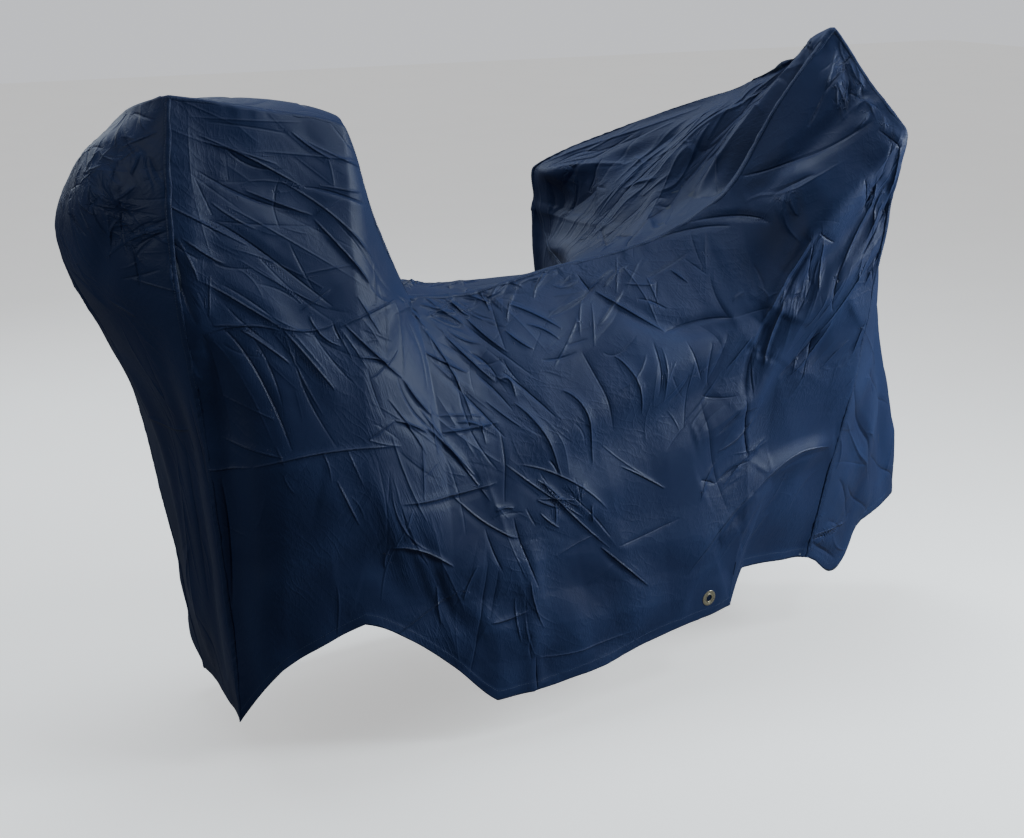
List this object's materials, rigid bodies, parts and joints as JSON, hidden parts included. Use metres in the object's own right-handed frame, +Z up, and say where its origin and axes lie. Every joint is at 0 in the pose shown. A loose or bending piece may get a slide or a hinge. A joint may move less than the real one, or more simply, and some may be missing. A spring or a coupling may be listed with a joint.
{
  "type": "motorcycle cover",
  "caption": "Fitted cover of thin coated cloth for a parked motorcycle, hanging as a hollow shell over luggage box, saddle and turned handlebar, with an eyelet in its hem.",
  "frame": {"origin": "under the cloth at the low point of the saddle, where the machine carries the cover", "axes": "+X to the front of the machine, +Y to its left, +Z up"},
  "size_m": [1.9616, 0.8514, 1.2445],
  "materials": {
    "cover_cloth": "satin coated navy cloth, creased from packing",
    "eyelet_metal": "pale plated brass"
  },
  "bodies": {
    "root": {"right_panel": "cover_cloth", "left_panel": "cover_cloth", "centre_panel": "cover_cloth", "eyelet_strip": "cover_cloth", "eyelet": "eyelet_metal"}
  },
  "joints": []
}
